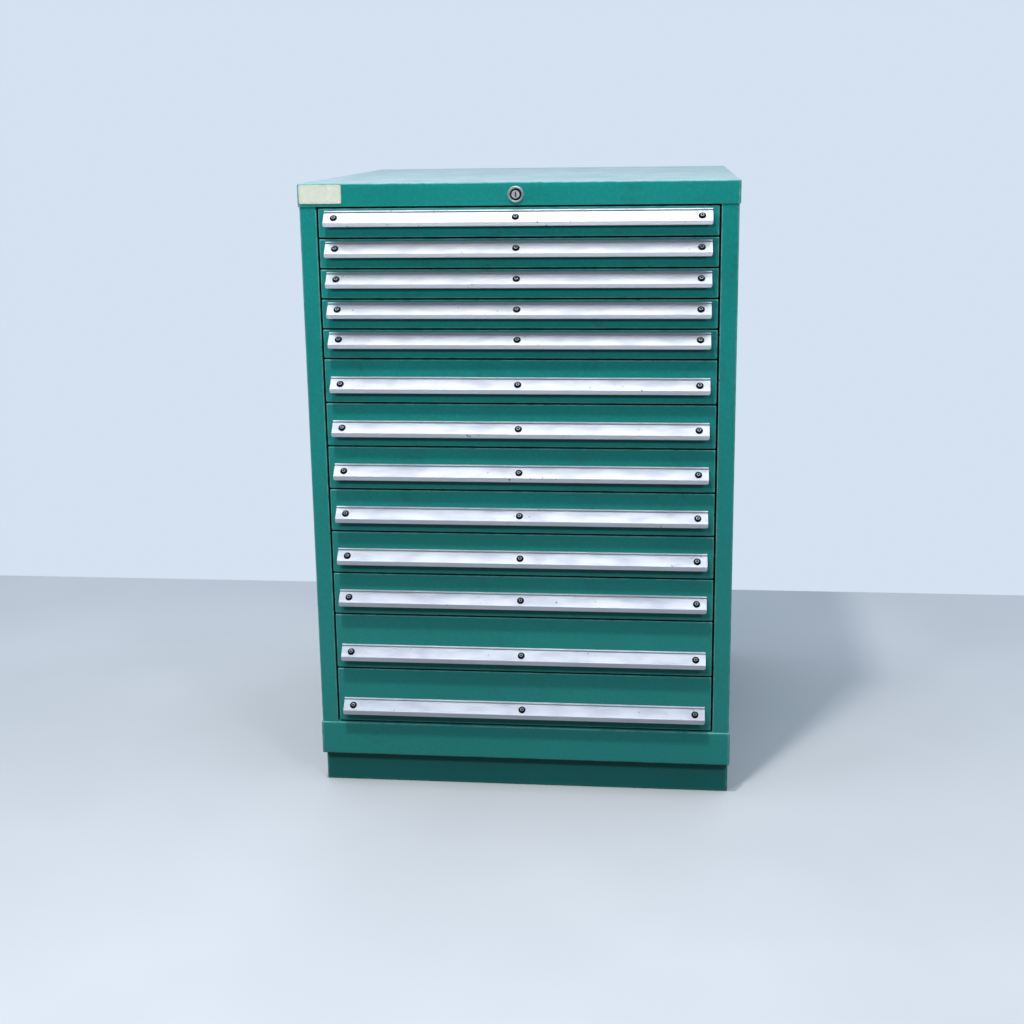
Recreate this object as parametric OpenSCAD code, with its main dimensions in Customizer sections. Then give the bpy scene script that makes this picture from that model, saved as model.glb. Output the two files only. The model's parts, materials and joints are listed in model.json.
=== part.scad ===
// Steel drawer cabinet: a folded-sheet housing on a plinth, a stack of shallow
// full-extension drawers with extruded handles, and a central lock in the header.
// X runs to the right, Y to the back and Z up. The origin is on the floor, under the
// middle of the whole cabinet, handles included.

/* [Housing] */
// Width of the header and the base, the widest pieces
cab_w = 720; // [700:1:740]
// Depth of the header and the base
cab_d = 724; // [720:1:760]
// Width of the side panels, from outer face to outer face
housing_w = 716; // [696:1:734]
// Height of the header's skirt
header_h = 37.5; // [37:0.5:60]
// Height of the base between the lowest drawer and the plinth
base_h = 60; // [40:1:90]
// Height of the plinth
plinth_h = 59; // [40:1:100]
// How far the plinth's front stands back from the drawer fronts
plinth_setback = 20; // [5:1:60]
// Width of the post faces beside the drawers
post_w = 28.3; // [26:0.1:30]

/* [Drawers] */
// Height unit of the drawer stack
unit_h = 25; // [25:1:30]
// Number of small drawers, two units high, at the top
small_count = 5; // [1:1:5]
// Number of medium drawers, three units high, in the middle
medium_count = 6; // [0:1:6]
// Number of large drawers, four units high, at the bottom
large_count = 2; // [0:1:2]
// Gap between one drawer front and the next
front_gap = 2.5; // [1.5:0.1:3]
// Gap between a drawer front and a post
side_gap = 3.1; // [2.5:0.1:3.5]
// Clear width inside a drawer
inner_w = 612; // [600:1:612]
// Clear depth inside a drawer
inner_d = 612; // [600:1:612]
// How far a drawer pulls out
drawer_travel = 600; // [400:1:600]

/* [Handle] */
// Length of the handle
handle_len = 632; // [400:1:640]
// How far the handle's nose stands out from the drawer front
handle_reach = 19; // [17:0.5:22]
// Distance of the end screws from the middle screw
screw_spread = 299; // [150:1:300]
// Diameter of a handle screw's domed head
screw_head_d = 12.4; // [9:0.1:14]

/* [Lock] */
// Diameter of the lock's bezel
bezel_d = 27; // [22:0.5:28]
// Diameter of the lock's turning plug
plug_d = 13; // [11:0.5:14]
// Radius at which the cam's pin turns
cam_r = 10; // [8:0.5:10]
// Rise of the lock bar when the key turns
lock_lift = 7; // [6.5:0.1:7]

/* [Label] */
// Width of the label plate
label_w = 70.8; // [40:0.1:100]
// Height of the label plate
label_h = 30.5; // [15:0.5:32]

/* [Hidden] */
$fn = 48;
sheet = 1.5;               // folded sheet of the sides, the back and the drawers
plate = 2;                 // heavier sheet of the header, the base and the plinth
eps = 1;                   // overshoot of a cut past a face

// Drawer heights and bottoms, counted from the top drawer down
drawer_count = small_count + medium_count + large_count;
units = [for (i = [1:drawer_count])
    i <= small_count ? 2 : i <= small_count + medium_count ? 3 : 4];
function units_below(i) = i >= drawer_count ? 0 : units[i] + units_below(i + 1);
function drawer_h(i) = units[i - 1] * unit_h;
function drawer_z(i) = stack_z + units_below(i) * unit_h;
stack_h = (units_below(1) + units[0]) * unit_h;

// Heights above the floor
sill_gap = 2;
lintel_gap = 1.5;
base_top = plinth_h + base_h;
stack_z = base_top + sill_gap;
header_z = stack_z + stack_h + lintel_gap;
cab_h = header_z + header_h;

// Depths: front_y is the plane of the posts and the drawer fronts
front_y = handle_reach - (handle_reach + cab_d - plate) / 2;
header_y = front_y - plate;
rear_y = header_y + cab_d;
back_y = rear_y - plate - sheet;

// Half widths across the cabinet
half_w = housing_w / 2;
post_x = half_w - post_w;
front_x = post_x - side_gap;
tray_x = inner_w / 2 + sheet;
drawer_rail_x = tray_x + 10;
bar_x = drawer_rail_x + 0.8;
roller_side_gap = 0.7;
rail_lip_x = bar_x + 2.5;
rail_x = post_x + 1.3;

// Heights within one drawer, above its pitch line
floor_z = 4;
rail_z = 17;
channel_h = 20.5;
rail_h = channel_h + 2 * sheet;
wall_drop = 8;
roller_d = 19.6;
roller_w = 7;
pin_d = 6;
bar_h = 14;

// Depths within one drawer, behind the front plane
pan_d = 20;
runner_len = drawer_travel;
runner_start = 22;
carriage_start = 24;
rail_start = 42;
rail_len = runner_len + 22;
inner_roller_at = [15, runner_len * 0.45];
outer_roller_at = [runner_len * 0.55, runner_len - 15];

// Slotted uprights that carry the rails
upright_w = 40;
upright_at = [46, runner_len + 20];
slot_size = [12, 6];
hook_size = [4, 10, 4];
upright_top = 8;

// Handle section: distance out from the drawer front, height above the pitch line
lip_top = 45;
lip_flat = 0.8;
lip_edge = 43.3;
lip_low = 42.8;
groove_floor = 1.2;
face_top = [2.4, 41];
face_edge = [handle_reach - 3, 26.2];
nose = [handle_reach, 19.4];
handle_t = 2;
slope = atan2(face_top[1] - face_edge[1], face_edge[0] - face_top[0]);
screw_at = (face_top + face_edge) / 2;
shank_d = 4;
shank_len = 17;
screw_hole_d = 4.4;
head_lift = 0.05;
head_rim = 0.8;
head_h = 2.7;
handle_corner = 4;

// Lock train: cylinder, cam, cross link and vertical bar
lock_z = cab_h - 20;
body_d = 19;
tail_w = 6;
tail_start = 22;
tail_end = 29;
cam_t = 3;
cam_pin_d = 4;
link_travel = 2 * cam_r * sin(45);
link_y = 30.5;
link_t = 2.5;
link_z = [cab_h - 35.5, cab_h - 21.5];
follow_x = post_x + 5.3;
follow_z = cab_h - 32;
follow_slot_d = 5;
bar_y = 34.5;
bar_t = 3;
lock_bar_x = [post_x + 2.3, post_x + 16.3];
finger_x = post_x - 9.2;
finger_z = [30.5, 34.5];
catch_y = [39, 41];
catch_z = [36, 42];
catch_foot = 16;
rivet_gap = 0.05;
link_guides_at = [60, 280];
bar_guides_at = [200, 560, 920];
guide_gap = 0.4;

// Fasteners
back_screw_pitch = 150;
back_screw_d = 4;
back_head = [8, 2];
base_bolt_d = 8;
base_bolt_in = 18;

green = "#1f7a72";
dark_green = "#16564f";
aluminium = "#cfd2dc";
zinc = "#a9adb0";
black = "#20242c";
chrome = "#e3e6ea";
cream = "#e4dfc6";
nylon = "#d9d6cc";

function two_digits(i) = i < 10 ? str("0", i) : str(i);
function drawer_node(i, piece) = str("drawer_", two_digits(i), "_", piece);

// ---- helpers ----

// A box between two corners
module block(low, high) {
    translate(low) cube(high - low);
}

// A section drawn in Y and Z, run along X
module along_x(x1, x2) {
    translate([x1, 0, 0]) rotate([90, 0, 90]) linear_extrude(x2 - x1) children();
}

// A section drawn in X and Z, run along Y
module along_y(y1, y2) {
    translate([0, y2, 0]) rotate([90, 0, 0]) linear_extrude(y2 - y1) children();
}

// A round bar or bore along Y
module rod_y(d, y1, y2) {
    along_y(y1, y2) circle(d = d);
}

// A piece on the right, and its mirror image on the left
module both_sides() {
    children();
    mirror([1, 0, 0]) children();
}

// ---- housing ----

// The screw places of the back panel, as x and z
back_screw_z = [for (z = base_top + 20; z < header_z - 15; z = z + back_screw_pitch) z];
module back_screw_places() {
    for (z = back_screw_z) translate([half_w - 16, 0, z]) children();
}

// The right side: outer wall, front post with its return, and the rear flange
module side_section() {
    translate([half_w - sheet, front_y]) square([sheet, back_y - front_y]);
    translate([post_x, front_y]) square([post_w, sheet]);
    translate([post_x, front_y]) square([sheet, 30]);
    translate([post_x + 2.3, back_y - sheet]) square([post_w - 2.3, sheet]);
}

module side_panel() {
    difference() {
        translate([0, 0, base_top]) linear_extrude(cab_h - plate - base_top) side_section();
        back_screw_places() rod_y(screw_hole_d, back_y - 2 * sheet, back_y + eps);
    }
}

module right_side_panel() {
    color(green) side_panel();
}

module left_side_panel() {
    color(green) mirror([1, 0, 0]) side_panel();
}

module back_panel() {
    color(green) difference() {
        block([-half_w + plate, back_y, base_top + 0.5],
              [half_w - plate, back_y + sheet, cab_h - plate - 0.5]);
        both_sides() back_screw_places() rod_y(screw_hole_d, back_y - eps, rear_y);
    }
}

module back_screws() {
    color(zinc) both_sides() back_screw_places() {
        rod_y(back_head[0], back_y + sheet, back_y + sheet + back_head[1]);
        rod_y(back_screw_d, back_y - 8, back_y + sheet);
    }
}

// Header: top plate, skirts all round and a lip under the front skirt
module top_cap() {
    color(green) difference() {
        union() {
            difference() {
                block([-cab_w / 2, header_y, header_z], [cab_w / 2, rear_y, cab_h]);
                block([plate - cab_w / 2, header_y + plate, header_z - eps],
                      [cab_w / 2 - plate, rear_y - plate, cab_h - plate]);
            }
            block([-post_x + 1, header_y, header_z], [post_x - 1, front_y + 14, header_z + plate]);
        }
        translate([0, 0, lock_z]) rod_y(body_d + 0.4, header_y - eps, front_y + eps);
    }
}

// Base: deck, skirts all round and a bottom flange
module base_pan() {
    flange = 40;
    color(green) difference() {
        block([-cab_w / 2, header_y, plinth_h], [cab_w / 2, rear_y, base_top]);
        block([plate - cab_w / 2, header_y + plate, plinth_h + plate],
              [cab_w / 2 - plate, rear_y - plate, base_top - plate]);
        block([flange - cab_w / 2, header_y + flange, plinth_h - eps],
              [cab_w / 2 - flange, rear_y - flange, base_top - plate]);
        base_bolt_places() cylinder(d = base_bolt_d + 0.6, h = 20, center = true);
    }
}

// Plinth: a frame with flanges turned in at the top and the bottom
plinth_y = front_y + plinth_setback;
module plinth() {
    flange = 30;
    color(dark_green) difference() {
        union() {
            difference() {
                block([-half_w, plinth_y, 0], [half_w, rear_y - plate, plinth_h]);
                block([plate - half_w, plinth_y + plate, plate],
                      [half_w - plate, rear_y - 2 * plate, plinth_h - plate]);
                block([flange - half_w, plinth_y + flange, -eps],
                      [half_w - flange, rear_y - plate - flange, plinth_h + eps]);
            }
            base_bolt_places() translate([0, 0, -plate - 6]) cylinder(d = 15, h = 7);
        }
        base_bolt_places() cylinder(d = base_bolt_d + 0.2, h = 20, center = true);
    }
}

// The four bolts between base and plinth, at the joint between them
module base_bolt_places() {
    for (y = [plinth_y + base_bolt_in, rear_y - plate - base_bolt_in]) {
        for (x = [base_bolt_in - half_w, half_w - base_bolt_in]) {
            translate([x, y, plinth_h]) children();
        }
    }
}

module base_bolts() {
    color(zinc) base_bolt_places() {
        translate([0, 0, plate]) cylinder(d = 14, h = 5, $fn = 6);
        translate([0, 0, -7]) cylinder(d = base_bolt_d, h = 7 + plate);
    }
}

// Two slotted channels that stand behind the post, one near each end of the rails
module uprights() {
    z_top = cab_h - plate - upright_top;
    slot_count = stack_h / unit_h;
    difference() {
        for (y = upright_at) translate([0, front_y + y, base_top]) linear_extrude(z_top - base_top) {
            translate([rail_x, 0]) square([sheet, upright_w]);
            translate([rail_x, 0]) square([half_w - sheet - rail_x, sheet]);
            translate([rail_x, upright_w - sheet]) square([half_w - sheet - rail_x, sheet]);
        }
        for (y = upright_at) for (k = [0:slot_count - 1]) {
            translate([rail_x + sheet / 2, front_y + y + upright_w / 2, stack_z + rail_z + k * unit_h])
                cube([3 * sheet, slot_size[0], slot_size[1]], center = true);
        }
    }
}

module right_uprights() {
    color(zinc) uprights();
}

module left_uprights() {
    color(zinc) mirror([1, 0, 0]) uprights();
}

// One fixed rail: a channel open towards the drawer, with a hook in each upright
module rail() {
    along_y(front_y + rail_start, front_y + rail_start + rail_len) difference() {
        translate([rail_lip_x, rail_z - rail_h / 2]) square([rail_x - rail_lip_x, rail_h]);
        translate([rail_lip_x - eps, rail_z - channel_h / 2])
            square([rail_x - rail_lip_x - plate + eps, channel_h]);
    }
    for (y = upright_at) {
        translate([rail_x - 0.5, front_y + y + upright_w / 2, rail_z])
            translate([0, -hook_size[1] / 2, -hook_size[2] / 2]) cube(hook_size);
    }
}

module rails() {
    for (i = [1:drawer_count]) translate([0, 0, drawer_z(i)]) rail();
}

module right_rails() {
    color(zinc) rails();
}

module left_rails() {
    color(zinc) mirror([1, 0, 0]) rails();
}

module label_plate() {
    r = 2.5;
    left = -357.2;
    low = header_z + 4.7;
    color(cream) along_y(header_y - 1.2, header_y) union() {
        translate([left + r, low]) square([label_w - 2 * r, label_h]);
        translate([left, low + r]) square([label_w, label_h - 2 * r]);
        for (x = [left + r, left + label_w - r]) for (z = [low + r, low + label_h - r]) {
            translate([x, z]) circle(r = r);
        }
    }
}

// ---- lock ----

module lock_housing() {
    color(chrome) translate([0, 0, lock_z]) difference() {
        union() {
            rod_y(bezel_d, header_y - 3, header_y);
            rod_y(body_d, header_y - eps, front_y + tail_start - 1);
        }
        rod_y(plug_d + 0.1, header_y - 5, front_y + tail_start);
    }
}

module lock_nut() {
    color(zinc) translate([0, 0, lock_z]) difference() {
        along_y(front_y, front_y + 4) circle(d = 28, $fn = 6);
        rod_y(body_d + 0.1, front_y - eps, front_y + 5);
    }
}

// Plug with its keyway, retaining collar and square tail
module lock_plug() {
    color(chrome) translate([0, 0, lock_z]) difference() {
        union() {
            rod_y(plug_d, header_y - 2.6, front_y + tail_start);
            rod_y(plug_d + 3, front_y + tail_start - 0.6, front_y + tail_start + 1.4);
            along_y(front_y + tail_start, front_y + tail_end) square(tail_w, center = true);
        }
        block([-1, header_y - 4, -4.2], [1, front_y + 8, 4.2]);
    }
}

// Cam on the plug's tail; its pin drives the link
module lock_cam() {
    color(zinc) translate([0, 0, lock_z]) rotate([0, -45, 0]) {
        along_y(front_y + tail_end - cam_t, front_y + tail_end) difference() {
            union() {
                circle(d = 14);
                translate([-4, -cam_r]) square([8, cam_r]);
                translate([0, -cam_r]) circle(d = 8);
            }
            rotate(45) square(tail_w + 0.1, center = true);
        }
        translate([0, 0, -cam_r]) rod_y(cam_pin_d, front_y + tail_end, front_y + link_y + link_t + 1);
    }
}

// Flat link across the header: a cam slot at the middle, a sloping slot at the right
module lock_link() {
    rise = atan2(lock_lift, link_travel);
    pin_x = cam_r * sin(45);
    color(zinc) along_y(front_y + link_y, front_y + link_y + link_t) difference() {
        translate([pin_x - 11, link_z[0]])
            square([follow_x + link_travel + 15 - pin_x, link_z[1] - link_z[0]]);
        translate([pin_x - 2.7, lock_z - cam_r - 3]) square([5.4, 9]);
        translate([follow_x, follow_z]) {
            circle(d = follow_slot_d);
            translate([link_travel, lock_lift]) circle(d = follow_slot_d);
            rotate(rise) translate([0, -follow_slot_d / 2])
                square([norm([link_travel, lock_lift]), follow_slot_d]);
        }
    }
}

// Hangers under the header that carry the link
module lock_link_guides() {
    color(zinc) for (x = link_guides_at) difference() {
        block([x, front_y + link_y - 3, link_z[0] - 3],
              [x + 12, front_y + link_y + link_t + 3, cab_h - plate]);
        block([x - eps, front_y + link_y - guide_gap, link_z[0] - guide_gap],
              [x + 13, front_y + link_y + link_t + guide_gap, link_z[1] + guide_gap]);
    }
}

// Vertical bar behind the right post; its pin and a finger for every drawer are riveted on
module lock_bar() {
    y1 = front_y + bar_y;
    color(zinc) {
        block([lock_bar_x[0], y1, stack_z + 20], [lock_bar_x[1], y1 + bar_t, follow_z + 8]);
        for (i = [1:drawer_count]) {
            block([finger_x, y1, drawer_z(i) + finger_z[0]],
                  [lock_bar_x[0] - rivet_gap, y1 + bar_t, drawer_z(i) + finger_z[1]]);
        }
        translate([follow_x, 0, follow_z]) rod_y(cam_pin_d, front_y + link_y - 0.5, y1 - rivet_gap);
    }
}

// Brackets on the side panel that keep the bar upright
module lock_bar_guides() {
    color(zinc) for (z = bar_guides_at) difference() {
        block([lock_bar_x[1] - 3, front_y + bar_y - 3, z],
              [half_w - sheet, front_y + bar_y + bar_t + 3, z + 12]);
        block([lock_bar_x[0], front_y + bar_y - guide_gap, z - eps],
              [lock_bar_x[1] + guide_gap, front_y + bar_y + bar_t + guide_gap, z + 13]);
    }
}

// ---- drawers ----

// The three handle screws of a drawer, seen from the middle of the sloping face
module screw_places() {
    for (x = [-screw_spread, 0, screw_spread]) {
        translate([x, front_y - screw_at[0], screw_at[1]]) rotate([slope, 0, 0]) children();
    }
}

// Welded drawer: front pan, tray and runners on both sides
module tray(h) {
    low = front_gap / 2;
    high = h - front_gap / 2;
    wall_z = h - wall_drop;
    tray_y = front_y + pan_d + inner_d + sheet;
    runner_y = front_y + runner_start;
    difference() {
        union() {
            // front pan, open at the back
            difference() {
                block([-front_x, front_y, low], [front_x, front_y + pan_d, high]);
                block([sheet - front_x, front_y + sheet, low + sheet],
                      [front_x - sheet, front_y + pan_d + eps, high - sheet]);
            }
            // tray, with its inner front wall
            difference() {
                block([-tray_x, front_y + sheet, floor_z], [tray_x, tray_y, wall_z]);
                block([sheet - tray_x, front_y + pan_d, floor_z + sheet],
                      [tray_x - sheet, tray_y - sheet, h]);
                block([sheet - tray_x, front_y + sheet, floor_z + sheet],
                      [tray_x - sheet, front_y + pan_d - sheet, h]);
            }
            both_sides() along_y(runner_y, runner_y + runner_len) difference() {
                translate([tray_x - 0.5, rail_z - rail_h / 2])
                    square([drawer_rail_x - tray_x + 0.5, rail_h]);
                translate([tray_x + sheet, rail_z - channel_h / 2])
                    square([drawer_rail_x, channel_h]);
            }
        }
        screw_places() cylinder(d = screw_hole_d, h = 40, center = true);
    }
}

// Lock catch: an angle riveted to the right wall of the tray
module catch() {
    low = [tray_x + rivet_gap, front_y + catch_y[0], catch_z[0]];
    block(low, [front_x - 0.6, front_y + catch_y[1], catch_z[1]]);
    block(low, [low[0] + sheet, front_y + catch_y[1] + catch_foot, catch_z[1]]);
}

// Extruded handle: lip, groove, sloping face, turned-down nose and rear leg
module handle_section() {
    out = [
        [0, lip_top], [lip_flat, lip_top], [face_top[0], lip_edge], [face_top[0], lip_low],
        [groove_floor, lip_low], [groove_floor, face_top[1]], face_top, face_edge, nose,
        nose - [handle_t, 0], face_edge - [handle_t + 0.4, 1.2], [3.6, 37.2], [handle_t, 37.2],
        [handle_t, 21], [0, 21]
    ];
    polygon([for (q = out) [-q[0], q[1]]]);
}

module handle() {
    half = handle_len / 2;
    difference() {
        intersection() {
            translate([0, front_y, 0]) along_x(-half, half) handle_section();
            along_y(front_y - handle_reach - eps, front_y + eps) union() {
                translate([-half, nose[1] + handle_corner]) square([handle_len, lip_top]);
                translate([handle_corner - half, nose[1] - eps])
                    square([handle_len - 2 * handle_corner, lip_top]);
                for (x = [handle_corner - half, half - handle_corner]) {
                    translate([x, nose[1] + handle_corner]) circle(r = handle_corner);
                }
            }
        }
        screw_places() cylinder(d = screw_hole_d, h = 40, center = true);
    }
}

// Domed handle screw, its head just clear of the sloping face
module handle_screw() {
    head_r = screw_head_d / 2;
    translate([0, 0, head_lift]) rotate_extrude() polygon([
        [0, -shank_len], [shank_d / 2, -shank_len], [shank_d / 2, 0], [head_r, 0], [head_r, head_rim],
        [0.8 * head_r, 0.7 * head_h], [0.5 * head_r, 0.92 * head_h], [0, head_h]
    ]);
}

// One telescopic carriage: a bar with rollers inside for the drawer, outside for the rail
module carriage() {
    y1 = front_y + carriage_start;
    block([bar_x, y1, rail_z - bar_h / 2], [bar_x + plate, y1 + runner_len, rail_z + bar_h / 2]);
    for (y = inner_roller_at) translate([bar_x - roller_side_gap - roller_w, y1 + y, rail_z]) axle_stub();
    for (y = outer_roller_at) translate([bar_x + plate, y1 + y, rail_z]) axle_stub();
    for (y = inner_roller_at) translate([bar_x - roller_side_gap - roller_w, y1 + y, rail_z]) roller();
    for (y = outer_roller_at) translate([bar_x + plate + roller_side_gap, y1 + y, rail_z]) roller();
}

module axle_stub() {
    rotate([0, 90, 0]) cylinder(d = pin_d, h = roller_w + roller_side_gap);
}

module roller() {
    rotate([0, 90, 0]) difference() {
        cylinder(d = roller_d, h = roller_w);
        translate([0, 0, -eps]) cylinder(d = pin_d + 0.2, h = roller_w + 2 * eps);
    }
}

module drawer_tray(i) {
    translate([0, 0, drawer_z(i)]) {
        color(green) tray(drawer_h(i));
        color(zinc) catch();
    }
}

module drawer_handle(i) {
    translate([0, 0, drawer_z(i)]) {
        color(aluminium) handle();
        color(black) screw_places() handle_screw();
    }
}

module drawer_carriages(i) {
    color(nylon) translate([0, 0, drawer_z(i)]) both_sides() carriage();
}

// ---- the parts ----

left_side_panel();
right_side_panel();
back_panel();
top_cap();
base_pan();
plinth();
left_uprights();
right_uprights();
left_rails();
right_rails();
lock_housing();
lock_nut();
lock_plug();
lock_cam();
lock_link();
lock_link_guides();
lock_bar();
lock_bar_guides();
label_plate();
back_screws();
base_bolts();
for (i = [1:drawer_count]) {
    drawer_tray(i);
    drawer_handle(i);
    drawer_carriages(i);
}
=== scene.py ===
"""A tall steel drawer cabinet: folded green sheet, aluminium handles and drawers on carriages.

Shapes are worked out in millimetres from the frame's own boxes, and become metres as meshes.
"""
import json
import math

import bmesh
import bpy
from mathutils import Matrix, Vector

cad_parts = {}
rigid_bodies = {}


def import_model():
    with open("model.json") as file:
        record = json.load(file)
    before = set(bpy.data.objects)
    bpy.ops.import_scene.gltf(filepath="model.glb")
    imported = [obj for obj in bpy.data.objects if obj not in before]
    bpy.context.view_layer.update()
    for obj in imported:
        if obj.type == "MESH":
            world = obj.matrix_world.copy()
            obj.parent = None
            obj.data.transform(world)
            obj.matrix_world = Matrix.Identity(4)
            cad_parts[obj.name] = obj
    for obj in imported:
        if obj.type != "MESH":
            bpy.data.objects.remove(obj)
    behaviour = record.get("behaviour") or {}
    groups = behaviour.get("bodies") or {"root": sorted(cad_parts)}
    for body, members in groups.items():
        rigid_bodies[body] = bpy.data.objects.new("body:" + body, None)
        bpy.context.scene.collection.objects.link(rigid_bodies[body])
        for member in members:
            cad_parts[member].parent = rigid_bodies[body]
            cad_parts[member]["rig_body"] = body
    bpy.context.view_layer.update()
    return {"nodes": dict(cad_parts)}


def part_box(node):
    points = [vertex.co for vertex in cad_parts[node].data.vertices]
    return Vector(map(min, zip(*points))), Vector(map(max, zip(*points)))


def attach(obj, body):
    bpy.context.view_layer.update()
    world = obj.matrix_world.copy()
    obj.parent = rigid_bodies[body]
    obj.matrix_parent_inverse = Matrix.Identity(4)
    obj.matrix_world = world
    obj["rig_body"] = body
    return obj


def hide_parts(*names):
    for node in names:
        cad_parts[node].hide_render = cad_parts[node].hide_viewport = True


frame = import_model()

MM = 0.001
DRAWERS = range(1, 14)
TURN = 2 * math.pi

# Folded sheet: its two thicknesses, its bends, and how far in from an edge its flat starts
SHEET = 1.5
PLATE = 2.0
FOLD = 1.8
HOUSING_FOLD = 2.6
FLAT = 16.0

# How far off a bend the paint is no longer rubbed
LEAD = 4.0

# The value that stands for painted shade in a narrow gap, and the depths round a drawer front between which
# it lies
GAP_SHADE = -1.0
GAP_SHADE_DEPTHS = (1.2, 7.0)

# A gap as thin as a hair, which keeps two faces from lying in one plane
HAIR = 0.05

# Header: the lock hole's radius, how far the lip under its front reaches past the lock bar's inner
# edge, and where the lip ends behind the fronts
LOCK_HOLE = 9.7
LIP_REACH = 8.2
LIP_DEPTH = 14.0

# Side panel: the front post's return, and how far short of the post's edge the rear flange ends
POST_RETURN = 30.0
FLANGE_SHORT = 2.3

# Lock: radius of the ring's bore and of the recess's bore
RING_BORE = 9.6
RECESS_BORE = 6.6

# What repeats in every drawer: heights above its pitch line, depths behind its front, distances from
# the cabinet's middle plane, and sizes. The rollers' places count from the carriage's front end
FRONT_GAP = 2.5
PAN_DEPTH = 20.0
TRAY_HALF = 307.5
TRAY_FLOOR = 4.0
TRAY_LENGTH = 615.0
WALL_DROP = 8.0
HEM = 1.6
HEM_DEPTH = 6.0
SLOT_PITCH = 17.0
SLOT_WIDTH = 2.6
SLOT_ABOVE_FLOOR = 8.0
SLOT_BELOW_TOP = 9.0
SLOTS_FROM_CORNER = 34.0
FLOOR_MARGIN = 30.0
FLOOR_HOLES = 12
HOLE_SHARE = 0.22
RUNNER_Z = 17.0
RUNNER_HALF = 11.75
RUNNER_START = 22.0
RUNNER_LENGTH = 600.0
RUNNER_REACH = 10.0
CATCH = (39.0, 41.0, 57.0)
CATCH_Z = (36.0, 42.0)
CATCH_TIP = 326.0
CARRIAGE_BAR = (318.3, 320.3)
CARRIAGE_HALF = 7.0
ROLLER_RADIUS = 9.8
ROLLER_WIDTH = 7.0
ROLLER_GAP = 0.7
INNER_ROLLERS = (15.0, 270.0)
OUTER_ROLLERS = (330.0, 585.0)
PIN_RADIUS = 3.0
RIVET_HEAD = [(4.2, PLATE - 0.1), (4.2, PLATE + 0.2), (3.4, PLATE + 0.6), (1.2, PLATE + 0.75)]

# Handle section: how far out from the drawer front, how high above the pitch line, and bend radius
GRIP = [
    (0, 45, 0.2), (0.8, 45, 0.7), (2.4, 43.3, 0.4), (2.4, 42.8, 0.2), (1.2, 42.8, -0.3), (1.2, 41, -0.3),
    (2.4, 41, 0.6), (16, 26.2, 3), (19, 19.4, 0.7), (17.1, 19.4, 0.7), (13.6, 25.2, -1.5),
    (3.6, 37.2, -0.8), (2, 37.2, -0.5), (2, 21, 0.5), (0, 21, 0.3),
]
GRIP_FACE = ((2.4, 41.0), (16.0, 26.2))
GRIP_CORNER = 4.0

# The section's lower edge, how much its front leans back for each millimetre that it rises there,
# and how far out the front begins
NOSE_Z = 19.4
NOSE_LEAN = 3 / 6.8
NOSE_OUT = 5.0

# The handle's screws: (radius, height) of the domed head and shank, and of the rim round the
# socket, bright zinc as a painted glint. Rings with a third value of 6 are the hexagon
SCREW_SPREAD = 299.0
SCREW_SHAPE = [
    (1.4, 1.1, 6), (1.8, 1.3, 6), (1.85, 2.40, 6), (2.2, 2.68), (3.3, 2.50), (4.5, 2.05),
    (5.4, 1.40), (5.95, 0.80), (6.2, 0.35), (6.1, 0.05), (5.8, 0.0),
    (2.0, 0.0), (2.0, -15.5), (1.5, -17),
]
SOCKET_GLINT_RIM = [(1.75, 2.2, 6), (1.85, 2.7, 6), (2.0, 2.78), (2.8, 2.68), (2.9, 2.4)]

# Heights in metres where the lighter, warmer tint low down fades out, where the plinth's painted shade and
# grime end, and where the top's dust and painted reflection begin
LOW_TINT_Z = (0.1, 1.0)
PLINTH_SHADE_Z = (0.05, 0.06)
DUST_AND_REFLECTION_Z = (1.04, 1.05)

# The eye in metres, how the view is turned to the left, tilted up and rolled, in degrees, and the lens
EYE = (0.2435, -2.7012, 1.1520)
VIEW_TURNS = (6.208, -12.913, 0.824)
SENSOR = 36
LENS = 50.75
LENS_SHIFT = -0.0566

# Lamps, in metres and watts
KEY_PLACE = (-0.3, -1.5, 3.15)
KEY_AIM = (0, -0.35, 0.3)
KEY_SIZE = (0.22, 0.22)
KEY_POWER = 50
GLINT_POWER = 2.5
CEILING_PLACE = (0.0, -0.8, 2.8)
CEILING_AIM = (0, -0.8, 0)
CEILING_SIZE = (2.6, 1.0)
CEILING_POWER = 13
FILLS = (((-0.7, -1.75, 1.35), 9), ((0.9, -1.75, 1.35), 6))
FILL_AIM = (0, -0.35, 0.85)
FILL_SIZE = (0.25, 0.25)

# Strength of the room's light low in its front, behind the viewer, and on its bright side, up and behind
FRONT_LIGHT = 0.12
ROOM_LIGHT = 1.15
FRONT_COLOR = (0.40, 0.60, 0.95)
ROOM_COLOR = (0.66, 0.76, 0.88)
BRIGHT_SIDE = (0.0, 0.67, 0.74)

# Between which cosines of the angle off the bright side the light grows from low to full
LIGHT_FADE = (-0.10, 0.45)

# Color of the light that the floor throws back
FLOOR_BOUNCE = (0.13, 0.125, 0.12)

# Where the pale wall behind the cabinet meets the floor, and how far the floor goes else, in metres
WALL_Y = 0.8
FLOOR_REACH = 40


def limits(node):
    """The lowest and highest corner of a CAD node, in millimetres."""
    return [[c / MM for c in corner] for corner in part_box(node)]


front_y = limits("left_side_panel")[0][1]


# ---- meshes ----


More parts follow.
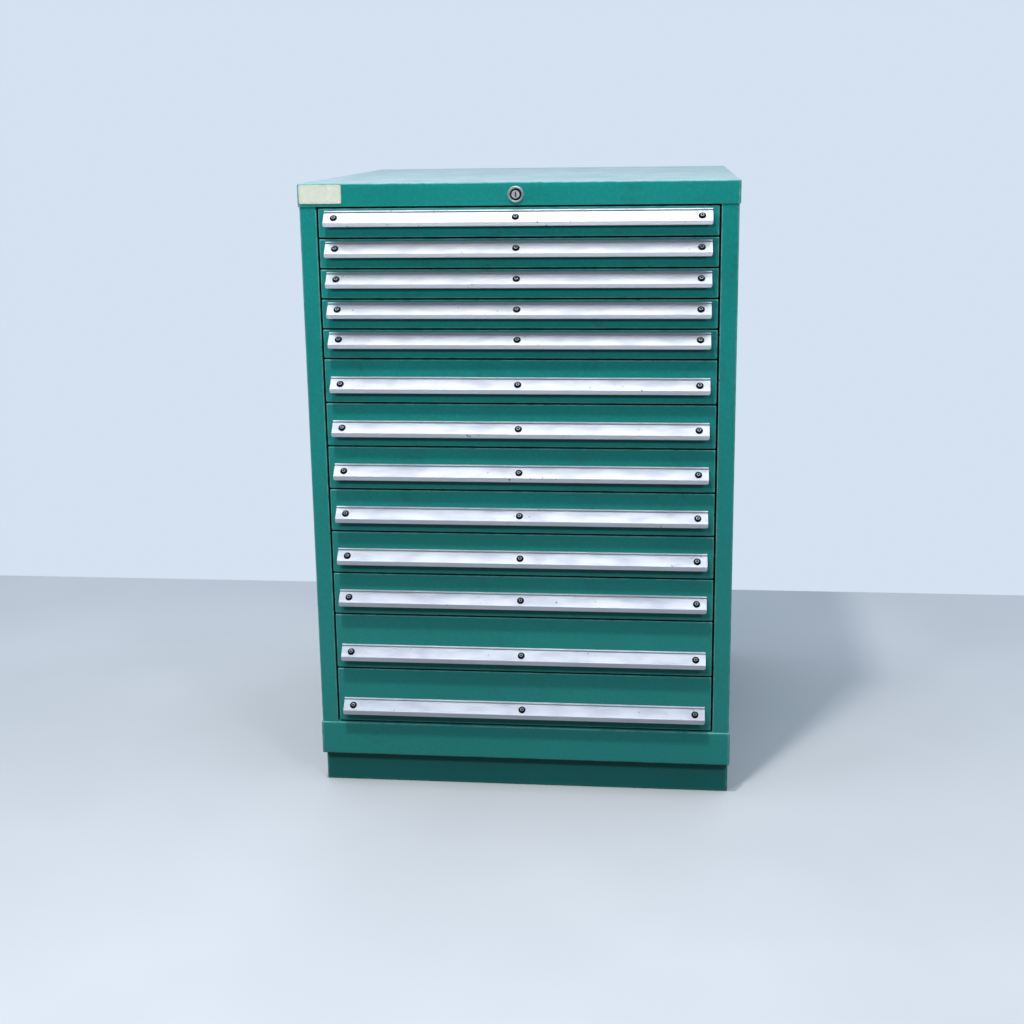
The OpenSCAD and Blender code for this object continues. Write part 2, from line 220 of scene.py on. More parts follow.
class Skin:
    """A mesh under construction, in millimetres, with a wear value at every point, negative where a gap is
    painted dark as shade.
    """

    def __init__(self):
        self.points, self.wear, self.faces, self.paints = [], [], [], []
        self.paint = 0

    def row(self, points, wear=0.0):
        first = len(self.points)
        self.points += points
        self.wear += wear if isinstance(wear, list) else [wear] * len(points)
        return range(first, len(self.points))

    def face(self, corners):
        self.faces.append(tuple(corners))
        self.paints.append(self.paint)

    def between(self, rows, ring=True, wrap=False, gap=None):
        """Quads between neighbouring rows. gap(level, k) says which of them are left open."""
        pairs = list(zip(rows, rows[1:]))
        if wrap:
            pairs.append((rows[-1], rows[0]))
        for level, (a, b) in enumerate(pairs):
            for k in range(len(a) if ring else len(a) - 1):
                n = (k + 1) % len(a)
                if gap is None or not gap(level, k):
                    self.face((a[k], a[n], b[n], b[k]))

    def tube(self, rows, wrap=False):
        """A closed form: rows joined, and either wrapped round or capped at both ends."""
        self.between(rows, wrap=wrap)
        if not wrap:
            self.face(rows[0])
            self.face(rows[-1])


def arc(centre, start, end, steps):
    """Points from start to end round centre, with 0 to 1 along the way."""
    a, b = Vector(start) - Vector(centre), Vector(end) - Vector(centre)
    angle = a.angle(b)
    for s in range(steps + 1):
        t = s / steps
        mixed = (a * math.sin((1 - t) * angle) + b * math.sin(t * angle)) / math.sin(angle)
        yield t, Vector(centre) + mixed


def outline(corners, closed=True, steps=4):
    """(u, v, wear) points of an outline whose (u, v, radius) corners become arcs.

    Wear is 1 in a bend and 0 a few millimetres off it. A negative radius is a bend that never wears.
    """
    out = []
    for k, (u, v, radius) in enumerate(corners):
        if not closed and k in (0, len(corners) - 1):
            out.append((u, v, 0.0))
            continue
        here = Vector((u, v))
        before = Vector(corners[k - 1][:2]) - here
        after = Vector(corners[(k + 1) % len(corners)][:2]) - here
        half = before.angle(after) / 2
        reach = abs(radius) / math.tan(half)
        inward = (before.normalized() + after.normalized()).normalized()
        middle = here + inward * abs(radius) / math.sin(half)
        worn = 1.0 if radius > 0 else 0.0
        lead_in = reach + LEAD < before.length / 2
        lead_out = reach + LEAD < after.length / 2
        if lead_in:
            out.append((*(here + before.normalized() * (reach + LEAD)), 0.0))
        start, end = here + before.normalized() * reach, here + after.normalized() * reach
        for t, point in arc(middle, start, end, steps):
            out.append((*point, worn * (1 - 0.5 * abs(2 * t - 1))))
        if lead_out:
            out.append((*(here + after.normalized() * (reach + LEAD)), 0.0))
    return out


def rect_loop(rect, inset, corner, lead=LEAD, steps=3):
    """(u, v, wear) points round a rounded rectangle drawn in by inset."""
    u1, u2, v1, v2 = rect
    r = max(corner - inset, 0.25)
    near = inset + r
    out = []
    for k, (u, v) in enumerate(((u2 - near, v2 - near), (u1 + near, v2 - near),
                                (u1 + near, v1 + near), (u2 - near, v1 + near))):
        turn = [TURN * (k + s / steps) / 4 for s in range(steps + 1)]
        ring = [(u + r * math.cos(a), v + r * math.sin(a)) for a in turn]
        first, last = turn[0], turn[-1]
        if lead:
            out.append((ring[0][0] + lead * math.sin(first), ring[0][1] - lead * math.cos(first), 0.0))
        out += [(*point, 1.0) for point in ring]
        if lead:
            out.append((ring[-1][0] - lead * math.sin(last), ring[-1][1] + lead * math.cos(last), 0.0))
    return out


def pan(skin, rect, corner, profile, place, wrap=False, lead=LEAD, gap=(0, 0)):
    """Folded sheet: a profile of (inset, depth, wear) points carried round a rounded rectangle.

    Between the two depths of gap it lies in a narrow gap, which is painted near black as shade instead of
    worn.
    """
    rows = []
    for inset, depth, wear in profile:
        loop = rect_loop(rect, inset, corner, lead)
        at_edge = 0.8 if inset < 0.1 else 0.0
        worn = [max(wear, w * at_edge) for _, _, w in loop]
        # Painted shade: inside a narrow gap the sheet is marked to be painted near black, where little
        # light reaches.
        if gap[0] < depth < gap[1] and inset < SHEET:
            worn = [GAP_SHADE] * len(loop)
        rows.append(skin.row([place(u, v, depth) for u, v, _ in loop], worn))
    skin.tube(rows, wrap)


def extrude(skin, section, stations, place):
    """A closed section of (u, v, wear) points run through stations."""
    skin.tube([skin.row([place(u, v, s) for u, v, _ in section], [w for _, _, w in section])
               for s in stations])


def bar(skin, low, high, edge=0.5):
    """A bar along its longest side, with every edge rounded."""
    size = [h - l for l, h in zip(low, high)]
    along = size.index(max(size))
    a, b = [k for k in range(3) if k != along]
    rows = []
    for s, inset in ((low[along], edge), (low[along] + edge, 0),
                     (high[along] - edge, 0), (high[along], edge)):
        points = []
        for u, v, _ in rect_loop((low[a], high[a], low[b], high[b]), inset, edge, lead=0):
            point = [0.0, 0.0, 0.0]
            point[a], point[b], point[along] = u, v, s
            points.append(tuple(point))
        rows.append(skin.row(points, 0.6))
    skin.tube(rows)


def lathe(skin, profile, place, segments=24, wrap=False):
    """A (radius, height) profile turned round an axis. A third value gives that ring so many sides."""
    rows = []
    for radius, height, *sides in profile:
        points = []
        for k in range(segments):
            a = TURN * k / segments
            r = radius
            if sides:
                sector = TURN / sides[0]
                r = radius / math.cos(a % sector - sector / 2)
            points.append(place(r * math.cos(a), r * math.sin(a), height))
        rows.append(skin.row(points, 0.3))
    skin.tube(rows, wrap)


def make(name, skin, node, *finishes, tone=0.5, bevel=0.0, closed=True):
    """Turns a skin into a piece that stands for a CAD node and rides on its body.

    A closed skin has no open edge, so that its faces can be turned outward.
    """
    mesh = bpy.data.meshes.new(name)
    mesh.from_pydata([[c * MM for c in p] for p in skin.points], [], skin.faces)
    if closed:
        work = bmesh.new()
        work.from_mesh(mesh)
        bmesh.ops.recalc_face_normals(work, faces=work.faces)
        work.to_mesh(mesh)
        work.free()
    for finish in finishes:
        mesh.materials.append(LOOKS[finish])
    mesh.polygons.foreach_set("material_index", skin.paints)
    mesh.attributes.new("wear", "FLOAT", "POINT").data.foreach_set("value", skin.wear)
    mesh.attributes.new("tone", "FLOAT", "POINT").data.foreach_set("value", [tone] * len(skin.points))
    mesh.shade_smooth()
    mesh.set_sharp_from_angle(angle=math.radians(40))
    piece = bpy.data.objects.new(name, mesh)
    bpy.context.scene.collection.objects.link(piece)
    if bevel:
        edges = piece.modifiers.new("edges", "BEVEL")
        edges.width, edges.segments = bevel * MM, 2
        edges.limit_method, edges.angle_limit = "ANGLE", math.radians(60)
    piece.modifiers.new("normals", "WEIGHTED_NORMAL").keep_sharp = True
    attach(piece, frame["nodes"][node]["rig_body"])
    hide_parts(node)
    return piece


# ---- materials ----


class Look:
    """A procedural material on the piece's own coordinates, in metres."""

    def __init__(self, name):
        self.material = bpy.data.materials.new(name)
        self.material.use_nodes = True
        self.tree = self.material.node_tree
        self.shader = self.tree.nodes["Principled BSDF"]
        self.place = self.node("ShaderNodeTexCoord").outputs["Object"]
        self.normal = None

    def node(self, kind, **settings):
        made = self.tree.nodes.new(kind)
        for key, value in settings.items():
            setattr(made, key, value)
        return made

    def feed(self, socket, value):
        if isinstance(value, bpy.types.NodeSocket):
            self.tree.links.new(value, socket)
        elif socket.type == "RGBA":
            socket.default_value = (*value, 1.0)
        else:
            socket.default_value = value

    def math(self, operation, *values, clamp=False):
        made = self.node("ShaderNodeMath", operation=operation, use_clamp=clamp)
        for socket, value in zip(made.inputs, values):
            self.feed(socket, value)
        return made.outputs[0]

    def noise(self, scale, detail=2.0, stretch=(1, 1, 1), shift=0.0):
        """Noise with features about 1/scale metres long, drawn out where stretch is under 1."""
        spread = self.node("ShaderNodeMapping")
        self.feed(spread.inputs["Vector"], self.place)
        spread.inputs["Location"].default_value = (shift, shift, shift)
        spread.inputs["Scale"].default_value = [scale * s for s in stretch]
        made = self.node("ShaderNodeTexNoise")
        self.feed(made.inputs["Vector"], spread.outputs[0])
        made.inputs["Scale"].default_value = 1.0
        made.inputs["Detail"].default_value = detail
        return made.outputs["Fac"]

    def span(self, value, low, high, to_low=0.0, to_high=1.0):
        """value's range from low to high becomes to_low to to_high, eased and clamped."""
        made = self.node("ShaderNodeMapRange", interpolation_type="SMOOTHSTEP")
        for socket, v in zip(made.inputs, (value, low, high, to_low, to_high)):
            self.feed(socket, v)
        return made.outputs[0]

    def mix(self, share, first, second):
        made = self.node("ShaderNodeMix", data_type="RGBA")
        self.feed(made.inputs[0], share)
        self.feed(made.inputs[6], first)
        self.feed(made.inputs[7], second)
        return made.outputs[2]

    def value_of(self, attribute):
        return self.node("ShaderNodeAttribute", attribute_name=attribute).outputs["Fac"]

    def facing_up(self):
        """1 where the surface faces up, 0 where it stands or faces down."""
        parts = self.node("ShaderNodeSeparateXYZ")
        self.feed(parts.inputs[0], self.node("ShaderNodeNewGeometry").outputs["Normal"])
        return self.span(parts.outputs["Z"], 0.75, 0.98)

    def scratches(self, scale, stretch, width=0.006, share=0.62, shift=0.0):
        """Thin lines along the stretched direction, gathered in patches."""
        line = self.math("ABSOLUTE", self.math("SUBTRACT", self.noise(scale, 1.0, stretch, shift), 0.5))
        patch = self.span(self.noise(6, 2.0, shift=shift + 3), share, share + 0.06)
        return self.math("MULTIPLY", self.span(line, 0.0, width, 1.0, 0.0), patch)

    def relief(self, height, distance, strength=1.0):
        """Adds a bump of so many metres to the surface."""
        made = self.node("ShaderNodeBump")
        made.inputs["Strength"].default_value = strength
        made.inputs["Distance"].default_value = distance
        self.feed(made.inputs["Height"], height)
        if self.normal:
            self.feed(made.inputs["Normal"], self.normal)
        self.normal = made.outputs[0]

    def done(self, color, roughness, **sockets):
        self.feed(self.shader.inputs["Base Color"], color)
        self.feed(self.shader.inputs["Roughness"], roughness)
        for name, value in sockets.items():
            self.feed(self.shader.inputs[name.replace("_", " ")], value)
        if self.normal:
            self.feed(self.shader.inputs["Normal"], self.normal)
        return self.material


def enamel(look):
    """The green itself: cloudy, a little lighter or darker by the piece's tone, which on the header and
    plinth is painted light and shade, and finely mottled.
    """
    cloud = look.noise(3.0, 3.0)
    color = look.mix(look.span(cloud, 0.3, 0.7), (0.007, 0.198, 0.180), (0.010, 0.240, 0.220))
    tone = look.value_of("tone")
    color = look.mix(look.math("MULTIPLY", tone, 0.45), color, (0.011, 0.275, 0.255))
    mottle = look.noise(190, 3.0, shift=4)
    color = look.mix(look.span(mottle, 0.3, 0.7, 0.30, 0.0), color, (0.006, 0.150, 0.136))
    return look.mix(look.span(mottle, 0.5, 0.8, 0.0, 0.22), color, (0.020, 0.300, 0.280))


def soiled_and_shaded(look, color, height):
    """color with patches of grime, a lighter, warmer tint low down that fades out upward, and the plinth
    darkened as painted shade under the base and as grime.
    """
    grime = look.math("MULTIPLY", look.span(look.noise(14, 5.0, (1, 1, 0.5), 7), 0.52, 0.75),
                      look.span(look.noise(90, 3.0), 0.4, 0.65))
    color = look.mix(look.math("MULTIPLY", grime, 0.35), color, (0.020, 0.060, 0.055))
    # A lighter, warmer green toward the bottom, fading out upward.
    color = look.mix(look.span(height, *LOW_TINT_Z, 0.34, 0.0), color, (0.050, 0.34, 0.315))
    # Painted shade: the plinth, under the base's overhang, is darkened, together with grime near the floor.
    return look.mix(look.span(height, *PLINTH_SHADE_Z, 0.30, 0.0), color, (0.010, 0.060, 0.062))


def dusted_and_reflecting(look, color, dust_and_reflection):
    """color under dust and a painted pale reflection of the room, with dark scratches drawn through it."""
    color = look.mix(dust_and_reflection, color, (0.52, 0.53, 0.60))
    drawn = look.math("MULTIPLY", look.span(dust_and_reflection, 0.0, 0.1),
                      look.scratches(30, (0.06, 1, 1), 0.02, 0.40, 31))
    return look.mix(look.math("MULTIPLY", drawn, 0.7), color, (0.12, 0.20, 0.23))


def green_paint():
    """Semi-gloss green enamel: scratched, rubbed and chipped along its folds, with a painted highlight on
    the rubbed folds, near black as painted shade in its gaps, dusty on top with a painted reflection.
    """
    look = Look("green_paint")
    wear = look.value_of("wear")
    parts = look.node("ShaderNodeSeparateXYZ")
    look.feed(parts.inputs[0], look.place)
    height = parts.outputs["Z"]
    color = soiled_and_shaded(look, enamel(look), height)
    fine = look.scratches(140, (0.02, 1, 1), shift=11)
    cross = look.scratches(120, (1, 1, 0.03), shift=23)
    scratch = look.math("MAXIMUM", fine, cross)
    color = look.mix(look.math("MULTIPLY", scratch, 0.35), color, (0.10, 0.27, 0.25))
    # Rubbed paint along folds and edges, made a lighter green also as a painted highlight where they catch
    # the light.
    rubbed_and_highlit = look.math("MULTIPLY", look.span(wear, 0.35, 1.0),
                       look.span(look.noise(55, 3.0), 0.35, 0.6, 0.35, 1.0))
    color = look.mix(look.math("MULTIPLY", rubbed_and_highlit, 0.6), color, (0.24, 0.50, 0.48))
    chip = look.math("MULTIPLY", look.span(look.noise(210, 2.0, shift=5), 0.67, 0.70),
                     look.span(wear, 0.5, 0.8))
    color = look.mix(chip, color, (0.045, 0.050, 0.048))
    # Dust on the top; its pale bluish colour is also a painted reflection of the room seen at a grazing
    # angle.
    dust_and_reflection = look.math("MULTIPLY", look.facing_up(), look.span(height, *DUST_AND_REFLECTION_Z))
    dust_and_reflection = look.math("MULTIPLY", dust_and_reflection, look.span(look.noise(22, 8.0, shift=9), 0.3, 0.7, 0.40, 0.60))
    color = dusted_and_reflecting(look, color, dust_and_reflection)
    # Painted shade: where the value is negative, in narrow gaps, the green turns near black.
    color = look.mix(look.span(wear, -0.8, 0.0, 0.9, 0.0), color, (0.002, 0.014, 0.014))
    rough = look.span(look.noise(9, 4.0, shift=2), 0.3, 0.7, 0.30, 0.42)
    rough = look.math("ADD", rough, look.math("MULTIPLY", look.math("MAXIMUM", scratch, chip), 0.25))
    rough = look.math("ADD", rough, look.math("MULTIPLY", dust_and_reflection, 0.25), clamp=True)
    look.relief(look.noise(420, 2.0), 0.00006, 0.35)
    look.relief(look.math("SUBTRACT", 1.0, look.math("MAXIMUM", chip, scratch)), 0.00012, 0.5)
    return look.done(color, rough, Specular_IOR_Level=0.32)


def aluminium():
    """Drawn aluminium: faint streaks along the handle, milky clouds, smudges and a few small nicks."""
    look = Look("aluminium")
    streak = look.noise(1.0, 3.0, (4, 900, 900))
    cloud = look.noise(55, 4.0, (0.45, 1, 1), 4)
    smudge = look.noise(16, 4.0, (0.5, 1, 1), 8)
    color = look.mix(look.span(streak, 0.3, 0.7), (0.83, 0.84, 0.89), (0.90, 0.91, 0.95))
    color = look.mix(look.span(cloud, 0.42, 0.72, 0.0, 0.32), color, (0.68, 0.69, 0.80))
    color = look.mix(look.span(smudge, 0.5, 0.8, 0.0, 0.25), color, (0.68, 0.65, 0.77))
    nick = look.math("MULTIPLY", look.span(look.noise(170, 1.0, shift=6), 0.745, 0.765),
                     look.span(look.noise(10, 1.0, shift=1), 0.5, 0.6))
    color = look.mix(nick, color, (0.30, 0.29, 0.33))
    scratch = look.scratches(60, (1, 0.05, 0.05), 0.004, 0.55, 12)
    rough = look.span(cloud, 0.35, 0.7, 0.43, 0.52)
    rough = look.math("ADD", rough, look.span(streak, 0.35, 0.65, -0.02, 0.02))
    look.relief(streak, 0.00002, 0.1)
    look.relief(look.math("SUBTRACT", 1.0, look.math("MAXIMUM", nick, scratch)), 0.0001, 0.4)
    return look.done(color, rough, Metallic=0.87)


def zinc_plate():
    """Zinc-plated steel: blotches of light and dark, slide marks and a slightly uneven surface."""
    look = Look("zinc_plate")
    cells = look.node("ShaderNodeTexVoronoi")
    look.feed(cells.inputs["Vector"], look.place)
    cells.inputs["Scale"].default_value = 110.0
    grain = look.node("ShaderNodeSeparateColor")
    look.feed(grain.inputs[0], cells.outputs["Color"])
    blotch = look.noise(24, 4.0)
    color = look.mix(look.span(grain.outputs[0], 0.0, 1.0, 0.0, 0.5),
                     (0.50, 0.51, 0.53), (0.64, 0.65, 0.66))
    color = look.mix(look.span(blotch, 0.5, 0.75, 0.0, 0.5), color, (0.46, 0.44, 0.38))
    mark = look.scratches(160, (1, 0.02, 1), 0.01, 0.45)
    color = look.mix(look.math("MULTIPLY", mark, 0.6), color, (0.80, 0.80, 0.80))
    rough = look.span(blotch, 0.3, 0.7, 0.34, 0.52)
    look.relief(look.noise(300, 3.0), 0.00004, 0.4)
    return look.done(color, rough, Metallic=1.0)


def chrome():
    """Polished chrome with hairlines and a little haze."""
    look = Look("chrome")
    haze = look.noise(180, 4.0)
    color = look.mix(look.span(haze, 0.45, 0.75, 0.0, 0.5), (0.86, 0.88, 0.90), (0.66, 0.69, 0.72))
    hair = look.scratches(700, (1, 1, 0.05), 0.02, 0.4)
    rough = look.math("ADD", look.span(haze, 0.3, 0.7, 0.08, 0.20), look.math("MULTIPLY", hair, 0.2))
    look.relief(hair, 0.00002, 0.5)
    return look.done(color, rough, Metallic=0.8)


def nickel():
    """Satin nickel, rubbed by keys."""
    look = Look("nickel")
    rub = look.noise(320, 4.0)
    color = look.mix(look.span(rub, 0.35, 0.7), (0.78, 0.81, 0.88), (0.42, 0.44, 0.52))
    hair = look.scratches(900, (1, 1, 0.05), 0.03, 0.35)
    rough = look.math("ADD", look.span(rub, 0.3, 0.7, 0.26, 0.40), look.math("MULTIPLY", hair, 0.2))
    look.relief(hair, 0.00002, 0.5)
    return look.done(color, rough, Metallic=0.5)


def black_oxide_and_recess_shade(name="black_screw"):
    """Oiled black oxide on steel, rubbed a little brighter in places. Also painted shade: the lock's
    recess.
    """
    look = Look(name)
    rub = look.noise(420, 3.0)
    color = look.mix(look.span(rub, 0.5, 0.8), (0.005, 0.006, 0.010), (0.022, 0.024, 0.032))
    rough = look.span(rub, 0.3, 0.7, 0.14, 0.26)
    look.relief(rub, 0.00002, 0.3)
    return look.done(color, rough, Specular_IOR_Level=0.4)


def roller_plastic():
    """Moulded nylon with a grey film of grease where it runs."""
    look = Look("roller_plastic")
    film = look.noise(160, 4.0)
    color = look.mix(look.span(film, 0.4, 0.7), (0.72, 0.69, 0.60), (0.42, 0.40, 0.35))
    rough = look.span(film, 0.3, 0.7, 0.38, 0.55)
    look.relief(look.noise(900, 2.0), 0.00003, 0.3)
    return look.done(color, rough, Subsurface_Weight=0.15, Subsurface_Scale=0.002)


def cream_plate():
    """Aged cream enamel on a thin plate, browned at its edge."""
    look = Look("cream_plate")
    age = look.noise(70, 4.0)
    color = look.mix(look.span(age, 0.35, 0.75), (0.62, 0.66, 0.56), (0.70, 0.73, 0.64))
    color = look.mix(look.span(look.noise(320, 3.0), 0.56, 0.76, 0.0, 0.30), color, (0.38, 0.36, 0.27))
    edge = look.math("MULTIPLY", look.value_of("wear"), look.span(look.noise(200, 2.0), 0.3, 0.6, 0.2, 0.7))
    color = look.mix(edge, color, (0.34, 0.36, 0.30))
    rough = look.span(age, 0.3, 0.7, 0.34, 0.50)
    look.relief(age, 0.00004, 0.3)
    return look.done(color, rough)


def floor_paint():
    """The stage's plain floor: pale to the eye, yet throwing back no more light than a wooden one."""
    look = Look("floor_paint")
    tone = look.noise(1.5, 3.0)
    color = look.mix(look.span(tone, 0.3, 0.7), (0.50, 0.52, 0.55), (0.54, 0.56, 0.59))
    seen = look.node("ShaderNodeLightPath").outputs["Is Camera Ray"]
    return look.done(look.mix(seen, FLOOR_BOUNCE, color), 0.75, Specular_IOR_Level=0.2)


LOOKS = {
    "green_paint": green_paint(),
    "aluminium": aluminium(),
    "zinc_plate": zinc_plate(),
    "chrome": chrome(),
    "nickel": nickel(),
    "black_screw": black_oxide_and_recess_shade(),
    # Near black for the lock's recess: painted shade.
    "recess_shade_black": black_oxide_and_recess_shade("recess_shade_black"),
    "roller_plastic": roller_plastic(),
    "cream_plate": cream_plate(),
}


# ---- housing ----


def lock_hole(piece, front):
    """Cuts the lock's hole through the header's front and leaves the piece a plain mesh."""
    low, high = limits("lock_housing")
    centre = (low[2] + high[2]) / 2
    skin = Skin()
    lathe(skin, [(LOCK_HOLE, -10), (LOCK_HOLE, 10)], lambda u, v, h: (u, front + h, centre + v), 48)
    mesh = bpy.data.meshes.new("lock_hole")
    mesh.from_pydata([[c * MM for c in p] for p in skin.points], [], skin.faces)
    cutter = bpy.data.objects.new("lock_hole", mesh)
    bpy.context.scene.collection.objects.link(cutter)
    hole = piece.modifiers.new("lock_hole", "BOOLEAN")
    hole.operation, hole.object = "DIFFERENCE", cutter
    piece.modifiers.move(1, 0)
    shaped = piece.evaluated_get(bpy.context.evaluated_depsgraph_get())
    piece.data = bpy.data.meshes.new_from_object(shaped)
    piece.modifiers.clear()
    bpy.data.objects.remove(cutter)


def header():
    """Top plate with folded skirts all round, a lip under the front and a hole for the lock."""
    (x1, y1, z1), (x2, y2, z2) = limits("top_cap")
    height = z2 - z1
    skin = Skin()
    profile = outline([(FLAT, 0, 0), (0, 0, HOUSING_FOLD), (0, height, 0.6), (PLATE, height, 0.6),
                       (PLATE, PLATE, -0.8), (FLAT, PLATE, 0)], closed=False)
    pan(skin, (x1, x2, y1, y2), HOUSING_FOLD, profile, lambda u, v, depth: (u, v, z2 - depth))
    lip = limits("lock_bar")[0][0] + LIP_REACH
    bar(skin, (-lip, y1 + PLATE / 2, z1), (lip, front_y + LIP_DEPTH, z1 + PLATE))
    # Its tone is set high: the header is painted lighter, as lit from above.
    piece = make("header_shell", skin, "top_cap", "green_paint", tone=0.75)
    lock_hole(piece, y1)


def base():
    """Deck with folded skirts and a flange turned in at the bottom."""
    (x1, y1, z1), (x2, y2, z2) = limits("base_pan")
    height, flange = z2 - z1, 40
    skin = Skin()
    profile = outline([(FLAT, 0, 0), (0, 0, HOUSING_FOLD), (0, height, HOUSING_FOLD), (flange, height, 0.5),
                       (flange, height - PLATE, 0.5), (PLATE, height - PLATE, -0.8),
                       (PLATE, PLATE, -0.8), (FLAT, PLATE, 0)], closed=False)
    pan(skin, (x1, x2, y1, y2), HOUSING_FOLD, profile, lambda u, v, depth: (u, v, z2 - depth))
    make("base_shell", skin, "base_pan", "green_paint", tone=0.45)


def plinth():
    """Frame with flanges turned in at the top and the bottom, and four weld nuts."""
    (x1, y1, _), (x2, y2, z2) = limits("plinth")
    flange, nut_in = 30, 18
    skin = Skin()
    profile = outline([(0, 0, 2.2), (0, z2, 2.2), (flange, z2, 0.5), (flange, z2 - PLATE, 0.5),
                       (PLATE, z2 - PLATE, -0.8), (PLATE, PLATE, -0.8), (flange, PLATE, 0.5),
                       (flange, 0, 0.5)])
    pan(skin, (x1, x2, y1, y2), HOUSING_FOLD, profile, lambda u, v, depth: (u, v, z2 - depth), wrap=True)
    for x in (x1 + nut_in, x2 - nut_in):
        for y in (y1 + nut_in, y2 - nut_in):
            lathe(skin, [(4.2, -8), (7.3, -8), (7.5, -7.6), (7.5, -1.9), (4.2, -1.9)],
                  lambda u, v, h, x=x, y=y: (x + u, y + v, z2 + h), wrap=True)
    # Its tone is set low as painted shade under the base.
    make("plinth_shell", skin, "plinth", "green_paint", tone=0.3)


def side(name, mirror):
    """Outer wall, front post with its return, and the flange that the back panel screws to."""
    low, high = limits(name)
    outer, post = max(abs(low[0]), abs(high[0])), min(abs(low[0]), abs(high[0]))
    rear, post_end, flange_end = high[1], front_y + POST_RETURN, post + FLANGE_SHORT
    section = outline([
        (outer, rear, 2), (outer, front_y, 2.4), (post, front_y, FOLD), (post, post_end, 0.5),
        (post + SHEET, post_end, 0.5), (post + SHEET, front_y + SHEET, -0.6),
        (outer - SHEET, front_y + SHEET, -0.8), (outer - SHEET, rear - SHEET, -0.8),
        (flange_end, rear - SHEET, 0.5), (flange_end, rear, 0.5)])
    skin = Skin()
    extrude(skin, section, (low[2], high[2]), lambda u, v, s: (mirror * u, v, s))
    make(name.replace("panel", "shell"), skin, name, "green_paint", tone=0.55, bevel=0.3)


def back():
    """Flat sheet with rounded corners and edges; the heads of its screws cover their holes."""
    (x1, y1, z1), (x2, y2, z2) = limits("back_panel")
    skin = Skin()
    profile = outline([(FLAT, 0, 0), (0, 0, 0.8), (0, y2 - y1, 0.3), (FLAT, y2 - y1, 0)], closed=False)
    pan(skin, (x1, x2, z1, z2), 2.0, profile, lambda u, v, depth: (u, y2 - depth, v))
    make("back_sheet", skin, "back_panel", "green_paint", tone=0.4)


def label():
    """A blank plate with rounded corners."""
    (x1, y1, z1), (x2, y2, z2) = limits("label_plate")
    skin = Skin()
    profile = outline([(5, 0, 0), (0, 0, 0.5), (0, y2 - y1, 0.2), (5, y2 - y1, 0)], closed=False)
    pan(skin, (x1, x2, z1, z2), 2.5, profile, lambda u, v, depth: (u, y1 + depth, v), lead=2)
    make("label_face", skin, "label_plate", "cream_plate")


def lock_bezel():
    """Domed chrome ring with a dished recess round the plug, painted near black as shade, and the body
    behind it.
    """
    low, high = limits("lock_housing")
    centre, face = (low[2] + high[2]) / 2, limits("top_cap")[0][1]
    radius = (high[0] - low[0]) / 2
    proud, sunk = face - low[1], face - high[1]

    def place(u, v, h):
        return (u, face - h, centre + v)

    skin = Skin()
    crest = (RING_BORE + radius) / 2
    ring = outline([(9.2, -1.0, -0.6), (RING_BORE, 0.9, 0.5), (crest - 0.5, proud, 0.8),
                    (crest + 0.5, proud, 0.8), (radius, 0.8, 0.4), (radius, 0, 0.2),
                    (9.5, 0, -0.2), (9.5, sunk, 0.3), (8.6, sunk, 0.3)])
    lathe(skin, [(r, h) for r, h, _ in ring], place, 64, wrap=True)
    # Painted shade: the recess gets a near-black finish for the dark hollow round the plug.
    skin.paint = 1
    recess = outline([(RECESS_BORE, -1.4, 0.4), (9.3, -1.0, -0.5), (9.3, sunk, 0.3),
                      (RECESS_BORE, sunk, 0.3)])
    lathe(skin, [(r, h) for r, h, _ in recess], place, 64, wrap=True)
    make("lock_bezel", skin, "lock_housing", "chrome", "recess_shade_black")


def finish_cad(node, finish, width=0.35):
    """A CAD node whose shape is right gets its material and softly rounded edges."""
    piece = frame["nodes"][node]
    for material_slot in piece.material_slots:
        material_slot.material = LOOKS[finish]
    piece.modifiers.new("weld", "WELD").merge_threshold = 0.01 * MM
    edges = piece.modifiers.new("edges", "BEVEL")
    edges.width, edges.segments = width * MM, 2
    edges.limit_method, edges.angle_limit = "ANGLE", math.radians(50)
    piece.modifiers.new("normals", "WEIGHTED_NORMAL")


# ---- drawers ----


def drawer_front(skin, low, high):
    """Front pan: face, folded returns and their raw edges."""
    profile = outline([(FLAT, 0, 0), (0, 0, FOLD), (0, PAN_DEPTH, 0.4), (SHEET, PAN_DEPTH, 0.4),
                       (SHEET, SHEET, -0.4), (FLAT, SHEET, 0)], closed=False)
    # The returns deep in the gaps between drawers are painted near black as shade.
    pan(skin, (low[0], high[0], low[2], high[2]), 1.6, profile,
        lambda u, v, depth: (u, front_y + depth, v), gap=GAP_SHADE_DEPTHS)


def slot_marks(low, high):
    """Centres of the slots between two ends, at the slot pitch and centred."""
    count = int((high - low) / SLOT_PITCH)
    first = (low + high - (count - 1) * SLOT_PITCH) / 2
    return [first + k * SLOT_PITCH for k in range(count)]


def tray_loop(rect, inset, corner):
    """Points round a tray's walls, and for each whether a slot starts there."""
    x1, x2, y1, y2 = rect
    r = max(corner - inset, 0.25)
    near = inset + r
    along_x = slot_marks(x1 + SLOTS_FROM_CORNER, x2 - SLOTS_FROM_CORNER)
    along_y = slot_marks(y1 + SLOTS_FROM_CORNER, y2 - SLOTS_FROM_CORNER)
    half = SLOT_WIDTH / 2
    sides = (
        [(x2 - inset, y + s * half) for y in along_y for s in (-1, 1)],
        [(x + s * half, y2 - inset) for x in reversed(along_x) for s in (1, -1)],
        [(x1 + inset, y + s * half) for y in reversed(along_y) for s in (1, -1)],
        [(x + s * half, y1 + inset) for x in along_x for s in (-1, 1)],
    )
    corners = ((x2 - near, y2 - near), (x1 + near, y2 - near),
               (x1 + near, y1 + near), (x2 - near, y1 + near))
    points, opens = [], []
    for k, (marks, (cx, cy)) in enumerate(zip(sides, corners)):
        points += marks
        opens += [s % 2 == 0 for s in range(len(marks))]
        for s in range(4):
            a = TURN * (k + s / 3) / 4
            points.append((cx + r * math.cos(a), cy + r * math.sin(a)))
            opens.append(False)
    return points, opens


